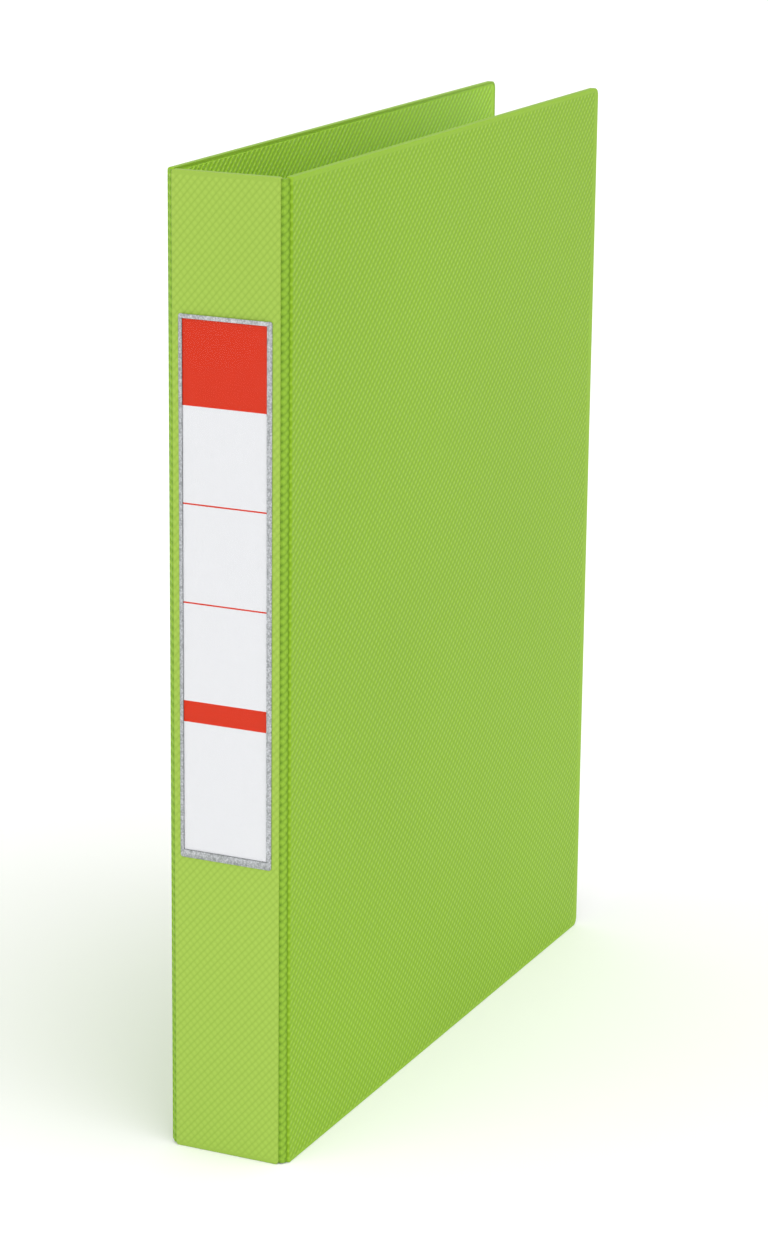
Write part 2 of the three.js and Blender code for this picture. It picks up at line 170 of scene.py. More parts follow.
# Polypropylene foil, calendered and embossed with a fine diagonal hatch: soft satin light on slanting cells,
# painted shade in the colour of the grooves between them and painted highlight in short pale dashes on the
# cells, and smooth where the edges are welded.
def embossedFoil(name, cell, groove, turn, cellWidth, bands, paintedLightPowers, depth, crossDepth):
    material, tree, shader = newMaterial(name, Roughness=0.45, IOR=1.49, Specular_IOR_Level=0.15)
    place = addNode(tree, "ShaderNodeTexCoord")
    hatch = addNode(tree, "ShaderNodeMapping", {
        "Vector": place.outputs["Object"], "Rotation": turn,
        "Scale": (1 / cellWidth, 1 / cellWidth, 1 / emboss["cellHeight"])})
    waves = []
    for direction in bands:
        waves.append(addNode(tree, "ShaderNodeTexWave",
                             {"Vector": hatch.outputs["Vector"], "Scale": math.pi / 10 * math.sqrt(2)},
                             wave_type="BANDS", bands_direction=direction).outputs["Fac"])
    shapes = []
    for main, cross in (paintedLightPowers, emboss["ridges"]):
        rows = addNode(tree, "ShaderNodeMath", {0: waves[0], 1: main}, operation="POWER")
        crossing = addNode(tree, "ShaderNodeMath", {0: waves[1], 1: cross}, operation="POWER")
        level = addNode(tree, "ShaderNodeMapRange", {"Value": crossing.outputs[0],
                                                     "To Min": 1 - crossDepth})
        shapes.append(addNode(tree, "ShaderNodeMath", {0: rows.outputs[0],
                                                       1: level.outputs["Result"]}, operation="MULTIPLY"))
    axes = addNode(tree, "ShaderNodeSeparateXYZ", {"Vector": place.outputs["Object"]})
    fromMiddle = addNode(tree, "ShaderNodeMath", {0: axes.outputs["Z"], 1: cadHigh.z / 2},
                         operation="SUBTRACT")
    upwards = addNode(tree, "ShaderNodeMath", {0: fromMiddle.outputs[0]}, operation="ABSOLUTE")
    inside = []
    for value, edge in ((upwards.outputs[0], cadHigh.z / 2 - emboss["topMargin"]),
                        (axes.outputs["Y"], cadHigh.y - emboss["farMargin"])):
        inside.append(addNode(tree, "ShaderNodeMapRange", {
            "Value": value, "From Min": edge - emboss["marginEdge"], "From Max": edge,
            "To Min": 1.0, "To Max": 0.0}))
    field = addNode(tree, "ShaderNodeMath", {0: inside[0].outputs["Result"],
                                             1: inside[1].outputs["Result"]}, operation="MULTIPLY")
    tone, height = [addNode(tree, "ShaderNodeMix", {
        0: field.outputs[0], 2: emboss["flatLevel"], 3: shape.outputs[0]}, data_type="FLOAT").outputs[0]
        for shape in shapes]
    # slow unevenness of foil stretched over board, about a hand's width across
    drift = addNode(tree, "ShaderNodeTexNoise",
                    {"Vector": place.outputs["Object"], "Scale": 9.0, "Detail": 1.0})
    grain = addNode(tree, "ShaderNodeTexNoise",
                    {"Vector": place.outputs["Object"], "Scale": 1 / (0.5 * mm), "Detail": 2.0})
    # painted shade and highlight: the groove colour is mixed in where the tone is low and the cell colour
    # where it is high, so grooves are darkened in colour as well as by the bump
    tint = addNode(tree, "ShaderNodeMix", {"Factor": tone, 6: linear(groove),
                                           7: linear(cell)}, data_type="RGBA")
    varied = addNode(tree, "ShaderNodeHueSaturation", {
        "Color": tint.outputs[2],
        "Value": addNode(tree, "ShaderNodeMapRange", {"Value": drift.outputs["Fac"], "From Min": 0.3,
                                                      "From Max": 0.7, "To Min": 0.98,
                                                      "To Max": 1.02}).outputs["Result"]})
    tree.links.new(varied.outputs["Color"], shader.inputs["Base Color"])
    soft = addNode(tree, "ShaderNodeMapRange", {"Value": grain.outputs["Fac"], "From Min": 0.3,
                                                "From Max": 0.7, "To Min": 0.4, "To Max": 0.52})
    tree.links.new(soft.outputs["Result"], shader.inputs["Roughness"])
    wavy = addNode(tree, "ShaderNodeBump", {"Height": drift.outputs["Fac"], "Strength": 0.4,
                                            "Distance": 1.2 * mm})
    rough = addNode(tree, "ShaderNodeBump", {"Height": grain.outputs["Fac"], "Strength": 0.25,
                                             "Distance": 0.03 * mm, "Normal": wavy.outputs["Normal"]})
    raised = addNode(tree, "ShaderNodeBump", {"Height": height, "Strength": 1.0,
                                              "Distance": emboss["depth"] * depth,
                                              "Normal": rough.outputs["Normal"]})
    tree.links.new(raised.outputs["Normal"], shader.inputs["Normal"])
    return material


slant = math.radians(45)
# turn, cell width, the two wave directions, and the powers that shape the painted shade and highlight of the
# main and crossing rows: low powers draw narrow dark grooves of painted shade, high ones short pale dashes of
# painted highlight
coverHatch = ((slant, 0, 0), 3.3 * mm, ("Y", "Z"), (1.5, 1.0))
spineHatch = ((0, -slant, 0), 2.45 * mm, ("X", "Z"), (0.3, 0.6))
# painted light: the covers and the spine are one foil, but each copy is coloured for how the light falls on
# it; the spine's paler colour is partly painted sheen, and the covers' darker grooves and pale dashes are
# painted shade and highlight for cells lit at a slant
coverFoil = embossedFoil("polypropylene_foil_embossed_covers", "#9CC43A", "#7CA51D", *coverHatch, 1.2, 0.7)
spineFoil = embossedFoil("polypropylene_foil_embossed_spine", "#9EBD4E", "#8CAC41", *spineHatch, 0.45, 0.5)
# painted light: the linings are painted lighter than the outer foil, standing in for light inside the binder
# where the covers shade it
coverLiningPaintedLight = embossedFoil("polypropylene_foil_lining_covers", "#B8E44A", "#90BE2E", *coverHatch, 1.7, 0.5)
spineLiningPaintedLight = embossedFoil("polypropylene_foil_lining_spine", "#B2DE46", "#8CB82E", *spineHatch, 1.7, 0.5)
# at the hinge the hatch runs across a 45 degree corner, so it is drawn narrower by the root of two
hingeHatch = ((slant, 0, 0), 3.3 * mm / math.sqrt(2), ("Y", "Z"), (0.3, 0.6))
beadFoil = embossedFoil("polypropylene_foil_welded_bead", "#8FB838", "#6F9527", *hingeHatch, 0.8, 0.5)
# painted shade: the crease foil is darker than the bead foil, standing in for the shade that falls in the
# creases beside the bead
creaseShadeFoil = embossedFoil("polypropylene_foil_welded_crease_painted_shade", "#87AF33", "#5F8420", *hingeHatch, 0.8, 0.5)


# Grey recycled board, pressed and uncoated: dull, with dark and pale fibres.
def greyBoard():
    material, tree, shader = newMaterial("greyboard_pressed", Roughness=0.92)
    place = addNode(tree, "ShaderNodeTexCoord")
    fibres = addNode(tree, "ShaderNodeTexNoise", {"Vector": place.outputs["Object"],
                                                  "Scale": 1 / (1.5 * mm), "Detail": 4.0})
    tint = addNode(tree, "ShaderNodeMix", {"Factor": fibres.outputs["Fac"], 6: linear("#7D7A71"),
                                           7: linear("#A19D92")}, data_type="RGBA")
    tree.links.new(tint.outputs[2], shader.inputs["Base Color"])
    bump = addNode(tree, "ShaderNodeBump", {"Height": fibres.outputs["Fac"], "Strength": 0.5,
                                            "Distance": 0.08 * mm})
    tree.links.new(bump.outputs["Normal"], shader.inputs["Normal"])
    return material


# Coated label card, offset printed: smooth and almost matt, with the paper's faint tooth.
def printedCard(name, colour, roughness):
    material, tree, shader = newMaterial(name, Roughness=roughness, IOR=1.5, Specular_IOR_Level=0.2)
    place = addNode(tree, "ShaderNodeTexCoord")
    tooth = addNode(tree, "ShaderNodeTexNoise", {"Vector": place.outputs["Object"],
                                                 "Scale": 1 / (0.4 * mm), "Detail": 3.0})
    value = addNode(tree, "ShaderNodeMapRange", {"Value": tooth.outputs["Fac"], "To Min": 0.985,
                                                 "To Max": 1.01})
    tint = addNode(tree, "ShaderNodeHueSaturation", {"Color": linear(colour),
                                                     "Value": value.outputs["Result"]})
    tree.links.new(tint.outputs["Color"], shader.inputs["Base Color"])
    bump = addNode(tree, "ShaderNodeBump", {"Height": tooth.outputs["Fac"], "Strength": 0.2,
                                            "Distance": 0.02 * mm})
    tree.links.new(bump.outputs["Normal"], shader.inputs["Normal"])
    return material


# Clear cast film: the card shows through, and only a soft gloss lies over it.
def clearFilm():
    material, tree, shader = newMaterial("polypropylene_film_clear", Roughness=0.22, IOR=1.49,
                                         Base_Color=linear("#2A2B2B"), Alpha=0.05)
    place = addNode(tree, "ShaderNodeTexCoord")
    ripple = addNode(tree, "ShaderNodeTexNoise", {"Vector": place.outputs["Object"], "Scale": 60.0})
    bump = addNode(tree, "ShaderNodeBump", {"Height": ripple.outputs["Fac"], "Strength": 0.3,
                                            "Distance": 0.1 * mm})
    tree.links.new(bump.outputs["Normal"], shader.inputs["Normal"])
    return material


# The film's welded border, pressed by the grit-blasted welding bar: milky grey, speckled with
# small bright and dark points.
def weldedFilm():
    material, tree, shader = newMaterial("polypropylene_film_welded", Roughness=0.4, IOR=1.49)
    place = addNode(tree, "ShaderNodeTexCoord")
    speckle = addNode(tree, "ShaderNodeTexVoronoi", {"Vector": place.outputs["Object"],
                                                     "Scale": 1 / (0.6 * mm)}, feature="F1")
    cloud = addNode(tree, "ShaderNodeTexNoise", {"Vector": place.outputs["Object"],
                                                 "Scale": 1 / (1.6 * mm), "Detail": 2.0})
    mixed = addNode(tree, "ShaderNodeMath", {0: speckle.outputs["Distance"], 1: cloud.outputs["Fac"]},
                    operation="ADD")
    level = addNode(tree, "ShaderNodeMapRange", {"Value": mixed.outputs[0], "From Min": 0.5,
                                                 "From Max": 1.35})
    tint = addNode(tree, "ShaderNodeMix", {"Factor": level.outputs["Result"], 6: linear("#C9CBCF"),
                                           7: linear("#8D9192")}, data_type="RGBA")
    tree.links.new(tint.outputs[2], shader.inputs["Base Color"])
    bump = addNode(tree, "ShaderNodeBump", {"Height": speckle.outputs["Distance"], "Strength": 1.0,
                                            "Distance": 0.1 * mm})
    tree.links.new(bump.outputs["Normal"], shader.inputs["Normal"])
    return material


# Nickel-plated steel: bright and slightly warm, with faint drawing lines along the length.
def nickelSteel(name, colour, low, high, lines):
    material, tree, shader = newMaterial(name, Metallic=1.0, Base_Color=linear(colour))
    place = addNode(tree, "ShaderNodeTexCoord")
    drawn = addNode(tree, "ShaderNodeMapping", {"Vector": place.outputs["Object"], "Scale": lines})
    streak = addNode(tree, "ShaderNodeTexNoise", {"Vector": drawn.outputs["Vector"],
                                                  "Scale": 1 / (0.6 * mm), "Detail": 3.0})
    blotch = addNode(tree, "ShaderNodeTexNoise", {"Vector": place.outputs["Object"], "Scale": 90.0})
    mixed = addNode(tree, "ShaderNodeMath", {0: streak.outputs["Fac"], 1: blotch.outputs["Fac"]},
                    operation="ADD")
    gloss = addNode(tree, "ShaderNodeMapRange", {"Value": mixed.outputs[0], "From Min": 0.7,
                                                 "From Max": 1.3, "To Min": low, "To Max": high})
    tree.links.new(gloss.outputs["Result"], shader.inputs["Roughness"])
    bump = addNode(tree, "ShaderNodeBump", {"Height": streak.outputs["Fac"], "Strength": 0.15,
                                            "Distance": 0.02 * mm})
    tree.links.new(bump.outputs["Normal"], shader.inputs["Normal"])
    return material


boardGrey = greyBoard()
cardWhite = printedCard("card_coated_white", "#E9EAED", 0.55)
cardRed = printedCard("card_printed_red", "#D9310F", 0.5)
filmClear = clearFilm()
filmWelded = weldedFilm()
wireNickel = nickelSteel("steel_wire_nickel_plated", "#D6D3CC", 0.1, 0.2, (1, 1, 0.3))
sheetNickel = nickelSteel("steel_sheet_nickel_plated", "#CFCDC8", 0.18, 0.32, (1, 1, 0.06))
railZinc = nickelSteel("steel_rail_zinc_plated", "#BFC0C0", 0.3, 0.45, (1, 1, 0.06))
rivetNickel = nickelSteel("steel_rivet_nickel_plated", "#D2CFC8", 0.15, 0.25, (1, 1, 1))
print("materials are mixed")


# ---- mesh helpers

def near(a, b):
    return abs(a - b) < 1e-6


def slab(low, high):
    bm = bmesh.new()
    low, high = Vector(low), Vector(high)
    bmesh.ops.create_cube(bm, size=1)
    bmesh.ops.scale(bm, vec=high - low, verts=bm.verts)
    bmesh.ops.translate(bm, vec=(low + high) / 2, verts=bm.verts)
    return bm


# edges that run along one axis (0, 1 or 2) and whose ends pass the test
def edgesAlong(bm, axis, test):
    found = []
    for edge in bm.edges:
        run = edge.verts[1].co - edge.verts[0].co
        if abs(run[axis]) > 0.999 * run.length and all(test(v.co) for v in edge.verts):
            found.append(edge)
    return found


def edgesWhere(bm, test):
    return [edge for edge in bm.edges if all(test(v.co) for v in edge.verts)]


def facesWhere(bm, test):
    return [face for face in bm.faces if all(test(v.co) for v in face.verts)]


def roundEdges(bm, edges, width, steps):
    bmesh.ops.bevel(bm, geom=edges, offset=width, offset_type="OFFSET", affect="EDGES",
                    segments=steps, profile=0.5, material=-1, clamp_overlap=True)


# cuts the given faces along planes square to one axis
def scoreFaces(bm, faces, axis, places):
    normal = Vector((0, 0, 0))
    normal[axis] = 1
    for place in places:
        geom = {g for face in faces for g in (face, *face.edges, *face.verts)}
        cut = bmesh.ops.bisect_plane(bm, geom=list(geom), plane_co=normal * place, plane_no=normal)
        faces = [g for g in cut["geom"] if isinstance(g, bmesh.types.BMFace)]
    return faces


# pushes faces out of a closed shell by a vector, with walls behind them
def pushFaces(bm, faces, by):
    pulled = bmesh.ops.extrude_face_region(bm, geom=faces)["geom"]
    bmesh.ops.delete(bm, geom=faces, context="FACES_ONLY")
    bmesh.ops.translate(bm, vec=by, verts=[g for g in pulled if isinstance(g, bmesh.types.BMVert)])
    return [g for g in pulled if isinstance(g, bmesh.types.BMFace)]


# turns a bmesh into a piece that rides on a body and stands for CAD nodes
def addPiece(name, bm, materials, body, replaced, sharpAngle=35, cutters=None, bevel=None,
             closed=True):
    bmesh.ops.remove_doubles(bm, verts=bm.verts, dist=0.002 * mm)
    bmesh.ops.dissolve_degenerate(bm, edges=bm.edges, dist=0.001 * mm)
    if closed:
        bmesh.ops.recalc_face_normals(bm, faces=bm.faces)
        if bm.calc_volume(signed=True) < 0:
            bmesh.ops.reverse_faces(bm, faces=bm.faces)
    mesh = bpy.data.meshes.new(name)
    bm.to_mesh(mesh)
    bm.free()
    for material in materials:
        mesh.materials.append(material)
    piece = bpy.data.objects.new(name, mesh)
    bpy.context.scene.collection.objects.link(piece)
    if cutters:
        drill(piece, cutters)
        mesh = piece.data
    if bevel:
        rounding = piece.modifiers.new("rounding", "BEVEL")
        rounding.width = bevel
        rounding.segments = 2
        rounding.limit_method = "ANGLE"
        rounding.angle_limit = math.radians(40)
    mesh.polygons.foreach_set("use_smooth", [True] * len(mesh.polygons))
    mesh.set_sharp_from_angle(angle=math.radians(sharpAngle))
    weighted = piece.modifiers.new("flat faces stay flat", "WEIGHTED_NORMAL")
    weighted.keep_sharp = True
    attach(piece, body)
    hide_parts(*replaced)
    return piece


# subtracts a bmesh of closed cutters and keeps the result as the piece's mesh
def drill(piece, cutters):
    mesh = bpy.data.meshes.new("cutters")
    cutters.to_mesh(mesh)
    tool = bpy.data.objects.new("cutters", mesh)
    bpy.context.scene.collection.objects.link(tool)
    boolean = piece.modifiers.new("holes", "BOOLEAN")
    boolean.operation = "DIFFERENCE"
    boolean.solver = "EXACT"
    boolean.object = tool
    view = bpy.context.evaluated_depsgraph_get()
    cutMesh = bpy.data.meshes.new_from_object(piece.evaluated_get(view))
    piece.modifiers.clear()
    piece.data = cutMesh
    bpy.data.objects.remove(tool)
    bpy.data.meshes.remove(mesh)


# ---- panels: a foil tray rolled over the board's edges, and the lining welded into it

panel = {
    "creaseCorner": 0.9 * mm, "farCorner": 2.8 * mm, "cornerSteps": 6,
    "outerRoll": 0.4 * mm, "innerRoll": 0.22 * mm, "rollSteps": 3,
    "rim": 0.7 * mm, "foil": 0.35 * mm,
    "liningCorner": 0.8 * mm,   # wider than the weld groove that runs round inside it
    "lipHalf": 0.25 * mm,       # half the thickness of the folded web at the hinges
    "weldFrom": 0.12 * mm, "weldSlope": 0.14 * mm, "weldFloor": 0.22 * mm, "weldDepth": 0.14 * mm,
}
panelAxes = {  # across the panel, and outwards
    "spine": (Vector((1, 0, 0)), Vector((0, -1, 0))),
    "front": (Vector((0, 1, 0)), Vector((1, 0, 0))),
    "rear": (Vector((0, 1, 0)), Vector((-1, 0, 0))),
}
panelBodies = {"spine": "spine", "front": "front_cover", "rear": "rear_cover"}
panelFoils = {"spine": spineFoil, "front": coverFoil, "rear": coverFoil}
panelLinings = {"spine": spineLiningPaintedLight, "front": coverLiningPaintedLight, "rear": coverLiningPaintedLight}


# drawing frame of a panel node: x across it, y up or down it, z from its inner face outwards
def panelPlace(prefix, nodeName):
    low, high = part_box(nodeName)
    across, outwards = panelAxes[prefix]
    size = high - low
    length, thickness = abs(size.dot(across)), abs(size.dot(outwards))
    origin = (low + high) / 2 - across * length / 2 - outwards * thickness / 2
    place = Matrix((across, outwards.cross(across), outwards)).transposed().to_4x4()
    place.translation = origin
    return place, length, size.z / 2, thickness


def roundCorners(bm, length, crease, far):
    roundEdges(bm, edgesAlong(bm, 2, lambda co: near(co.x, 0)), crease, panel["cornerSteps"])
    roundEdges(bm, edgesAlong(bm, 2, lambda co: near(co.x, length)), far, panel["cornerSteps"])


def rivetHoles():
    holes = bmesh.new()
    for name in ("rivet_bottom", "rivet_top"):
        low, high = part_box(name)
        spot = Matrix.Translation((low + high) / 2) @ Matrix.Rotation(math.radians(90), 4, "Y")
        bmesh.ops.create_cone(holes, cap_ends=True, segments=rivet["steps"], radius1=rivet["hole"],
                              radius2=rivet["hole"], depth=rivet["drillDepth"], matrix=spot)
    return holes


# the thin folded web that reaches from the panel's edge to its crease, round at the end
def addLip(bm, atX, direction, reach, thickness):
    half = panel["lipHalf"]
    side = facesWhere(bm, lambda co: near(co.x, atX))
    strips = scoreFaces(bm, side, 2, (thickness / 2 - half, thickness / 2 + half))
    strip = [f for f in strips if near(f.calc_center_median().z, thickness / 2)]
    pushFaces(bm, strip, Vector((direction * (reach + half), 0, 0)))
    # faces past the panel's edge take the crease foil, whose darker colour is painted shade in the crease
    for face in bm.faces:
        if (face.calc_center_median().x - atX) * direction > 1e-6:
            face.material_index = 1
    tip = atX + direction * (reach + half)
    roundEdges(bm, edgesAlong(bm, 1, lambda co: near(co.x, tip)), half, 4)


def outerFoil(prefix, creaseReach):
    place, length, half, thickness = panelPlace(prefix, prefix + "_outer_foil")
    bm = slab((0, -half, 0), (length, half, thickness))
    far = panel["creaseCorner"] if prefix == "spine" else panel["farCorner"]
    roundCorners(bm, length, panel["creaseCorner"], far)
    roundEdges(bm, edgesWhere(bm, lambda co: near(co.z, thickness)), panel["outerRoll"], panel["rollSteps"])
    addLip(bm, 0, -1, creaseReach, thickness)
    if prefix == "spine":
        addLip(bm, length, 1, creaseReach, thickness)
    inside = facesWhere(bm, lambda co: near(co.z, 0))
    bmesh.ops.inset_region(bm, faces=inside, thickness=panel["rim"], use_even_offset=True)
    pushFaces(bm, inside, Vector((0, 0, thickness - panel["foil"])))
    roundEdges(bm, edgesWhere(bm, lambda co: near(co.z, 0)), panel["innerRoll"], 2)
    bm.transform(place)
    holes = rivetHoles() if prefix == "rear" else None
    addPiece(prefix + "_foil_shell", bm, [panelFoils[prefix], creaseShadeFoil], panelBodies[prefix],
             [prefix + "_outer_foil"], cutters=holes)


def innerFoil(prefix):
    place, length, half, thickness = panelPlace(prefix, prefix + "_inner_foil")
    bm = slab((0, -half, 0), (length, half, thickness))
    crease = panel["liningCorner"]
    far = crease if prefix == "spine" else panel["farCorner"] - panel["rim"]
    roundCorners(bm, length, crease, far)
    seen = facesWhere(bm, lambda co: near(co.z, 0))
    for width, rise in ((panel["weldFrom"], 0), (panel["weldSlope"], -panel["weldDepth"]),
                        (panel["weldFloor"], 0), (panel["weldSlope"], panel["weldDepth"])):
        bmesh.ops.inset_region(bm, faces=seen, thickness=width, depth=rise, use_even_offset=True)
    bm.transform(place)
    holes = rivetHoles() if prefix == "rear" else None
    addPiece(prefix + "_lining", bm, [panelLinings[prefix]], panelBodies[prefix],
             [prefix + "_inner_foil"], cutters=holes)


rivet = {
    "hole": 2.7 * mm, "shank": 2.4 * mm, "head": 5.0 * mm, "headHeight": 1.0 * mm,
    "flare": 3.6 * mm, "flareHeight": 0.6 * mm, "eye": 1.4 * mm, "eyeDepth": 2.2 * mm,
    "seatGap": 0.05 * mm, "steps": 40, "drillDepth": 30 * mm,
}
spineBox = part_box("spine_outer_foil")
frontCrease = Vector(joints["front_crease"]["pos_m"])
creaseReach = frontCrease.x - spineBox[1].x
for prefix in panelAxes:
    outerFoil(prefix, creaseReach)
    innerFoil(prefix)
    frame["nodes"][prefix + "_board"].data.materials.clear()
    frame["nodes"][prefix + "_board"].data.materials.append(boardGrey)
print("spine and covers are wrapped")


# ---- hinge beads: the welded strip between the two creases, raised in the middle

bead = {
    "webHalf": 0.24 * mm, "half": 0.5 * mm, "topHalf": 0.48 * mm, "footHalf": 0.74 * mm,
    "topRound": 0.16 * mm, "footRound": 0.1 * mm,
    "shortfall": 0.45 * mm,    # the bead stops this far inside the spine's ends
}


def hingeBead(side):
    name = side + "_hinge_strip"
    crease = Vector(joints[side + "_crease"]["pos_m"])
    fold = Vector(joints[side + "_cover_fold"]["pos_m"])
    reach = abs(fold.x - crease.x)
    farCrease = Vector((fold.x, fold.y + reach, 0))
    across = (farCrease - crease).normalized()
    outwards = Vector((across.x, across.y, 0)).cross(Vector((0, 0, 1 if side == "front" else -1)))
    low, high = spineBox
    place = Matrix((across, outwards.cross(across), outwards)).transposed().to_4x4()
    place.translation = (crease + farCrease) / 2 + Vector((0, 0, (low.z + high.z) / 2))
    halfHeight = (high.z - low.z) / 2 - bead["shortfall"]
    web, end = bead["webHalf"], (farCrease - crease).length / 2 + bead["webHalf"]
    bm = slab((-end, -halfHeight, -web), (end, halfHeight, web))
    scores = (-bead["footHalf"], -bead["topHalf"], bead["topHalf"], bead["footHalf"])
    scoreFaces(bm, list(bm.faces), 0, scores)
    for vert in bm.verts:
        if abs(vert.co.x) < bead["topHalf"] + 1e-6:
            vert.co.z *= bead["half"] / web
    roundEdges(bm, edgesAlong(bm, 1, lambda co: near(abs(co.x), bead["topHalf"])), bead["topRound"], 3)
    roundEdges(bm, edgesAlong(bm, 1, lambda co: near(abs(co.x), bead["footHalf"])), bead["footRound"], 2)
    roundEdges(bm, edgesAlong(bm, 1, lambda co: near(abs(co.x), end)), web, 4)
    # the bead's sloping feet take the crease foil, whose darker colour is painted shade in the crease
    for face in bm.faces:
        face.material_index = 0 if abs(face.calc_center_median().x) < bead["footHalf"] else 1
    bm.transform(place)
    addPiece(side + "_hinge_bead", bm, [beadFoil, creaseShadeFoil], side + "_hinge", [name])


for side in ("front", "rear"):
    hingeBead(side)
print("hinges are welded")


# ---- label pocket and card

pocket = {
    "film": 0.25 * mm, "welded": 0.3 * mm, "side": 1.15 * mm, "bottom": 2.43 * mm, "hem": 1.3 * mm,
    "rise": 0.3 * mm, "corner": 0.8 * mm,
}
label = {  # printed fields, measured up from the card's lower edge
    "corner": 0.3 * mm, "blockFrom": 143.6 * mm, "barFrom": 42.4 * mm, "barTo": 49.3 * mm,
    "rules": (81.1 * mm, 112.7 * mm), "ruleWidth": 0.5 * mm,
}


def labelPocket():
    low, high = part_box("label_pocket")
    skin = spineBox[0].y                      # the spine's outer face
    bm = bmesh.new()
    bmesh.ops.create_grid(bm, x_segments=1, y_segments=1, size=0.5)
    bmesh.ops.rotate(bm, verts=bm.verts, matrix=Matrix.Rotation(math.radians(90), 3, "X"))
    size = high - low
    bmesh.ops.scale(bm, vec=(size.x, 1, size.z), verts=bm.verts)
    bmesh.ops.translate(bm, vec=((low.x + high.x) / 2, low.y, (low.z + high.z) / 2), verts=bm.verts)
    inner = (low.x + pocket["side"], high.x - pocket["side"])
    crest = (inner[0] + pocket["rise"], inner[1] - pocket["rise"])
    scoreFaces(bm, list(bm.faces), 0, (inner[0], crest[0], crest[1], inner[1]))
    foot = low.z + pocket["bottom"]
    scoreFaces(bm, list(bm.faces), 2, (foot, foot + pocket["rise"], high.z - pocket["hem"]))
    for vert in bm.verts:                     # side and bottom borders are welded down to the spine
        outside = vert.co.x < inner[0] + 1e-6 or vert.co.x > inner[1] - 1e-6
        if outside or vert.co.z < foot + 1e-6:
            vert.co.y = skin - pocket["welded"]
    for face in bm.faces:
        centre = face.calc_center_median()
        clear = crest[0] < centre.x < crest[1] and foot + pocket["rise"] < centre.z < high.z - pocket["hem"]
        face.material_index = 0 if clear else 1
    corners = [v for v in bm.verts if (near(v.co.x, low.x) or near(v.co.x, high.x))
               and (near(v.co.z, low.z) or near(v.co.z, high.z))]
    bmesh.ops.bevel(bm, geom=corners, offset=pocket["corner"], offset_type="OFFSET",
                    affect="VERTICES", segments=4, profile=0.5, material=-1)
    bmesh.ops.recalc_face_normals(bm, faces=bm.faces)
    if bm.faces[0].normal.y > 0:
        bmesh.ops.reverse_faces(bm, faces=bm.faces)
    piece = addPiece("pocket_film", bm, [filmClear, filmWelded], "spine",
                     ["label_pocket"], closed=False)
    sheet = piece.modifiers.new("film thickness", "SOLIDIFY")
    sheet.thickness = pocket["film"]
    sheet.offset = -1


def labelCard():
    low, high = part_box("label_card")
    bm = slab(low, high)
    roundEdges(bm, edgesAlong(bm, 1, lambda co: True), label["corner"], 3)
    front = facesWhere(bm, lambda co: near(co.y, low.y))
    rules = [z + half for z in label["rules"] for half in (-label["ruleWidth"] / 2, label["ruleWidth"] / 2)]
    heights = sorted([label["barFrom"], label["barTo"], label["blockFrom"], *rules])
    for face in scoreFaces(bm, front, 2, [low.z + height for height in heights]):
        middle = face.calc_center_median().z - low.z
        inBar = label["barFrom"] < middle < label["barTo"]
        inRule = any(abs(middle - z) < label["ruleWidth"] / 2 for z in label["rules"])
        face.material_index = 1 if middle > label["blockFrom"] or inBar or inRule else 0
    addPiece("printed_label", bm, [cardWhite, cardRed], "label", ["label_card"])


labelPocket()
labelCard()
print("label is in its pocket")


# ---- ring mechanism on the rear cover, drawn with x to the spine, y off the cover and z up

mechanism = Matrix(((0, 1, 0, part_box("rear_inner_foil")[1].x),
                    (-1, 0, 0, (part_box("rivet_top")[0].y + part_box("rivet_top")[1].y) / 2),
                    (0, 0, 1, 0), (0, 0, 0, 1)))
ring = {
    "wire": 1.5 * mm, "sides": 20, "root": 7.36 * mm, "leg": 14.0 * mm, "flareStart": 9.0 * mm,
    "flareRadius": 6.0 * mm, "curvedRadius": 14.0 * mm, "straightRadius": 6.0 * mm,
    "tip": -4.0 * mm, "tipGap": 0.15 * mm,
    "nose": 0.8 * mm, "noseInset": 0.75 * mm, "socketInset": 0.5 * mm,
}


def onlyEdges(geom):
    return [g for g in geom if isinstance(g, bmesh.types.BMEdge)]


# draws wire onwards from a loop of edges: each step is a run, or a bend of a radius and an angle
def drawWire(bm, loop, spot, heading, steps):
    for step in steps:
        verts = {v for edge in loop for v in edge.verts}
        if len(step) == 1:
            pulled = bmesh.ops.extrude_edge_only(bm, edges=loop)["geom"]
            ends = [g for g in pulled if isinstance(g, bmesh.types.BMVert)]
            bmesh.ops.translate(bm, vec=heading * step[0], verts=ends)
            loop = [e for e in onlyEdges(pulled) if all(v in ends for v in e.verts)]
            spot = spot + heading * step[0]
        else:
            radius, angle = step
            toCentre = Vector((-heading.y, heading.x, 0)) * math.copysign(radius, angle)
            centre = spot + toCentre
            spun = bmesh.ops.spin(bm, geom=list(verts) + loop, cent=centre, axis=(0, 0, 1),
                                  angle=angle, steps=max(4, round(abs(angle) * 12)))
            loop = onlyEdges(spun["geom_last"])
            turn = Matrix.Rotation(angle, 3, "Z")
            spot = centre + turn @ (spot - centre)
            heading = turn @ heading
    return loop


def capLoop(bm, loop):
    return bmesh.ops.contextual_create(bm, geom=loop)["faces"][0]


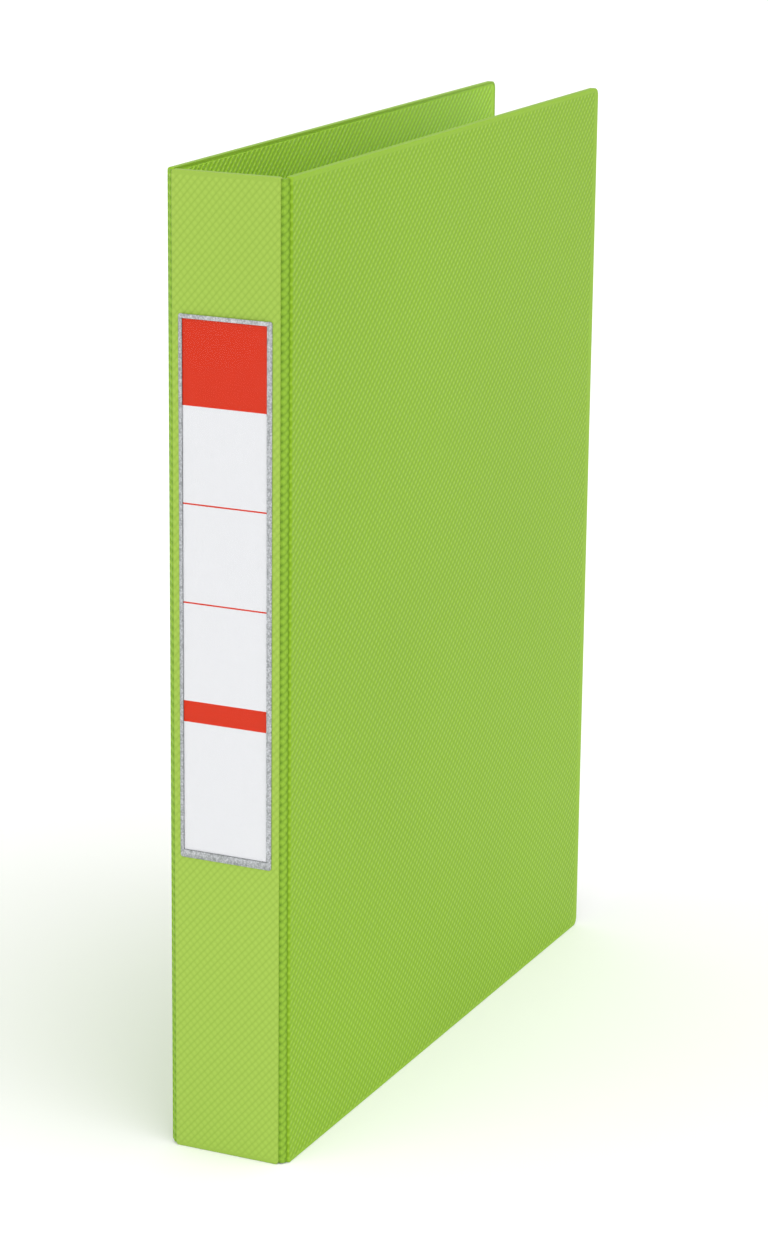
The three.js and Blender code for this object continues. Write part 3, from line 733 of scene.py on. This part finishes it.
def ringHalf(kind, number):
    name = f"ring_{kind}_half_{number}"
    low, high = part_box(name)
    side = 1 if kind == "curved" else -1
    coverFace = mechanism[0][3]
    root = low.x - coverFace
    top = high.x - coverFace - ring["wire"]
    z = (low.z + high.z) / 2
    bm = bmesh.new()
    start = Matrix.Translation((side * ring["root"], root, z)) @ Matrix.Rotation(math.radians(-90), 4, "X")
    bmesh.ops.create_circle(bm, cap_ends=False, segments=ring["sides"], radius=ring["wire"], matrix=start)
    loop = list(bm.edges)
    capLoop(bm, loop)
    eighth = math.radians(45)
    setBack = ring["flareRadius"] * math.tan(eighth / 2)
    flare = ring["leg"] - ring["root"]
    corner = ring["curvedRadius"] if side > 0 else ring["straightRadius"]
    reach = ring["leg"] - corner - side * ring["tip"] - ring["tipGap"]
    steps = [
        (ring["flareStart"] - setBack - root,),
        (ring["flareRadius"], -side * eighth),
        (flare * math.sqrt(2) - 2 * setBack,),
        (ring["flareRadius"], side * eighth),
        (top - corner - ring["flareStart"] - flare - setBack,),
        (corner, side * math.radians(90)),
        (reach,),
    ]
    loop = drawWire(bm, loop, Vector((side * ring["root"], root, z)), Vector((0, 1, 0)), steps)
    tip = capLoop(bm, loop)
    inwards = Vector((-side, 0, 0))
    inset = ring["noseInset"] if side > 0 else ring["socketInset"]
    bmesh.ops.inset_region(bm, faces=[tip], thickness=inset)
    if side > 0:                              # the curved half ends in a nose, the straight one in a socket
        nose = pushFaces(bm, [tip], inwards * ring["nose"])
        bmesh.ops.scale(bm, vec=(1, 0.7, 0.7), verts=nose[0].verts,
                        space=Matrix.Translation(-nose[0].calc_center_median()))
    else:
        pushFaces(bm, [tip], -inwards * ring["nose"])
    bmesh.ops.recalc_face_normals(bm, faces=bm.faces)
    bm.transform(mechanism)
    body = "spine_side_rail" if side > 0 else "open_side_rail"
    addPiece(f"ring_{kind}_{number}", bm, [wireNickel], body, [name], sharpAngle=50)


def rivetPiece(place):
    name = "rivet_" + place
    low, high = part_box(name)
    z = (low.z + high.z) / 2
    coverFace = mechanism[0][3]
    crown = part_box("ring_housing")[1].x - coverFace + rivet["seatGap"]
    seat = low.x - coverFace + rivet["headHeight"]
    dome = 8
    profile = [(rivet["head"] * math.sin(i / dome * math.pi / 2),
                seat - rivet["headHeight"] * (0.12 + 0.88 * math.cos(i / dome * math.pi / 2)))
               for i in range(dome + 1)]
    profile += [(rivet["head"], seat), (rivet["shank"], seat), (rivet["shank"], crown)]
    middle = (rivet["flare"] + rivet["eye"]) / 2
    curl = (rivet["flare"] - rivet["eye"]) / 2
    profile += [(middle + curl * math.cos(i / dome * math.pi),
                 crown + rivet["flareHeight"] * math.sin(i / dome * math.pi))
                for i in range(dome + 1)]
    profile += [(rivet["eye"], crown - rivet["eyeDepth"]), (0, crown - rivet["eyeDepth"])]
    bm = bmesh.new()
    chain = [bm.verts.new((radius, height, z)) for radius, height in profile]
    edges = [bm.edges.new(pair) for pair in zip(chain, chain[1:])]
    bmesh.ops.spin(bm, geom=chain + edges, cent=(0, 0, z), axis=(0, 1, 0), angle=math.radians(360),
                   steps=rivet["steps"], use_merge=True)
    bmesh.ops.remove_doubles(bm, verts=bm.verts, dist=1e-6)
    bmesh.ops.recalc_face_normals(bm, faces=bm.faces)
    bm.transform(mechanism)
    addPiece("tubular_rivet_" + place, bm, [rivetNickel], "rear_cover", [name], sharpAngle=40)


housing = {
    "sheet": 0.8 * mm, "archSteps": 40, "foot": 1.79 * mm, "hookReach": 1.9 * mm, "hookRise": 1.8 * mm,
    "foldRound": 0.35 * mm, "slotHalf": 1.8 * mm, "slotLow": 5.56 * mm, "slotHigh": 10.72 * mm,
    "slotFrom": 3 * mm, "slotTo": 12 * mm,
    "stubHole": 1.5 * mm, "notchHalf": 4.2 * mm, "notchLength": 7.0 * mm, "notchCorner": 1.2 * mm,
}


# sheet arch with its lower edges folded under, cut for the rings, rivets and triggers
def ringHousing():
    low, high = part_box("ring_housing")
    cover = mechanism[0][3]
    base, rise, half = low.x - cover, high.x - cover, (high.y - low.y) / 2
    radius = (half ** 2 + (rise - base) ** 2) / (2 * (rise - base))
    centre = Vector((0, rise - radius, 0))
    spread = 2 * math.asin(half / radius)
    bm = bmesh.new()
    ends = [bm.verts.new((half, base, z)) for z in (low.z, high.z)]
    firstEdge = bm.edges.new(ends)
    arch = bmesh.ops.spin(bm, geom=ends + [firstEdge], cent=centre, axis=(0, 0, 1), angle=spread,
                          steps=housing["archSteps"])
    lastEdge = onlyEdges(arch["geom_last"])[0]
    firstEdge = edgesAlong(bm, 2, lambda co: near(co.x, half))[0]
    for edge, side in ((firstEdge, 1), (lastEdge, -1)):
        for move in ((-side * housing["foot"], 0, 0), (-side * housing["hookReach"], housing["hookRise"], 0)):
            pulled = bmesh.ops.extrude_edge_only(bm, edges=[edge])["geom"]
            verts = [g for g in pulled if isinstance(g, bmesh.types.BMVert)]
            bmesh.ops.translate(bm, vec=move, verts=verts)
            edge = [e for e in onlyEdges(pulled) if all(v in verts for v in e.verts)][0]
    bmesh.ops.remove_doubles(bm, verts=bm.verts, dist=1e-6)
    folds = edgesAlong(bm, 2, lambda co: near(co.y, base))
    roundEdges(bm, folds, housing["foldRound"], 3)
    bmesh.ops.recalc_face_normals(bm, faces=bm.faces)
    topFace = max(bm.faces, key=lambda face: face.calc_center_median().y)
    if topFace.normal.y < 0:
        bmesh.ops.reverse_faces(bm, faces=bm.faces)
    bmesh.ops.solidify(bm, geom=bm.faces, thickness=housing["sheet"])
    bm.transform(mechanism)
    addPiece("arched_housing", bm, [sheetNickel], "rear_cover", ["ring_housing"],
             cutters=housingCutters(low, high, rise), sharpAngle=30)


def housingCutters(low, high, rise):
    cutters = bmesh.new()

    def addCutter(part):
        part.transform(mechanism)
        mesh = bpy.data.meshes.new("cutter")
        part.to_mesh(mesh)
        part.free()
        cutters.from_mesh(mesh)
        bpy.data.meshes.remove(mesh)

    for number in (1, 2, 3, 4):               # one long slot for each ring leg
        ringLow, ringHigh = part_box(f"ring_curved_half_{number}")
        z = (ringLow.z + ringHigh.z) / 2
        for side in (1, -1):
            edges = sorted((side * housing["slotLow"], side * housing["slotHigh"]))
            part = slab((edges[0], housing["slotFrom"], z - housing["slotHalf"]),
                        (edges[1], housing["slotTo"], z + housing["slotHalf"]))
            roundEdges(part, edgesAlong(part, 1, lambda co: True), housing["slotHalf"] * 0.98, 6)
            addCutter(part)
    for place in ("bottom", "top"):
        rivetLow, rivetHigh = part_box("rivet_" + place)
        part = bmesh.new()
        spot = Matrix.Translation((0, rise, (rivetLow.z + rivetHigh.z) / 2))
        bmesh.ops.create_cone(part, cap_ends=True, segments=rivet["steps"], radius1=rivet["hole"],
                              radius2=rivet["hole"], depth=6 * mm,
                              matrix=spot @ Matrix.Rotation(math.radians(90), 4, "X"))
        addCutter(part)
        pivot = Vector(joints[place + "_trigger_press"]["pos_m"])
        part = bmesh.new()
        spot = Matrix.Translation((0, pivot.x - mechanism[0][3], pivot.z))
        bmesh.ops.create_cone(part, cap_ends=True, segments=32, radius1=housing["stubHole"],
                              radius2=housing["stubHole"], depth=40 * mm,
                              matrix=spot @ Matrix.Rotation(math.radians(90), 4, "Y"))
        addCutter(part)
        end, inwards = (low.z, 1) if place == "bottom" else (high.z, -1)
        zs = sorted((end - inwards * 2 * mm, end + inwards * housing["notchLength"] / 2))
        part = slab((-housing["notchHalf"], rise / 2, zs[0]), (housing["notchHalf"], rise + 2 * mm, zs[1]))
        deep = end + inwards * housing["notchLength"] / 2
        roundEdges(part, edgesAlong(part, 1, lambda co: near(co.z, deep)), housing["notchCorner"], 4)
        addCutter(part)
    return cutters


# a CAD node's own shape with its doubles merged and its sharp edges broken
def brokenEdges(node, name, material, body, width):
    bm = bmesh.new()
    bm.from_mesh(frame["nodes"][node].data)
    bmesh.ops.remove_doubles(bm, verts=bm.verts, dist=1e-6)
    bmesh.ops.dissolve_limit(bm, angle_limit=math.radians(1), verts=bm.verts, edges=bm.edges)
    addPiece(name, bm, [material], body, [node], sharpAngle=40, bevel=width)


for number in (1, 2, 3, 4):
    ringHalf("curved", number)
    ringHalf("straight", number)
for place in ("bottom", "top"):
    rivetPiece(place)
    brokenEdges("opening_trigger_" + place, "trigger_" + place, sheetNickel, place + "_trigger",
                0.25 * mm)
ringHousing()
for side in ("spine", "open"):
    rail = side + "_side_rail"
    brokenEdges(f"rail_{side}_side", rail, railZinc, rail, 0.15 * mm)
print("ring mechanism is riveted on")


# ---- end

print("scene is built")
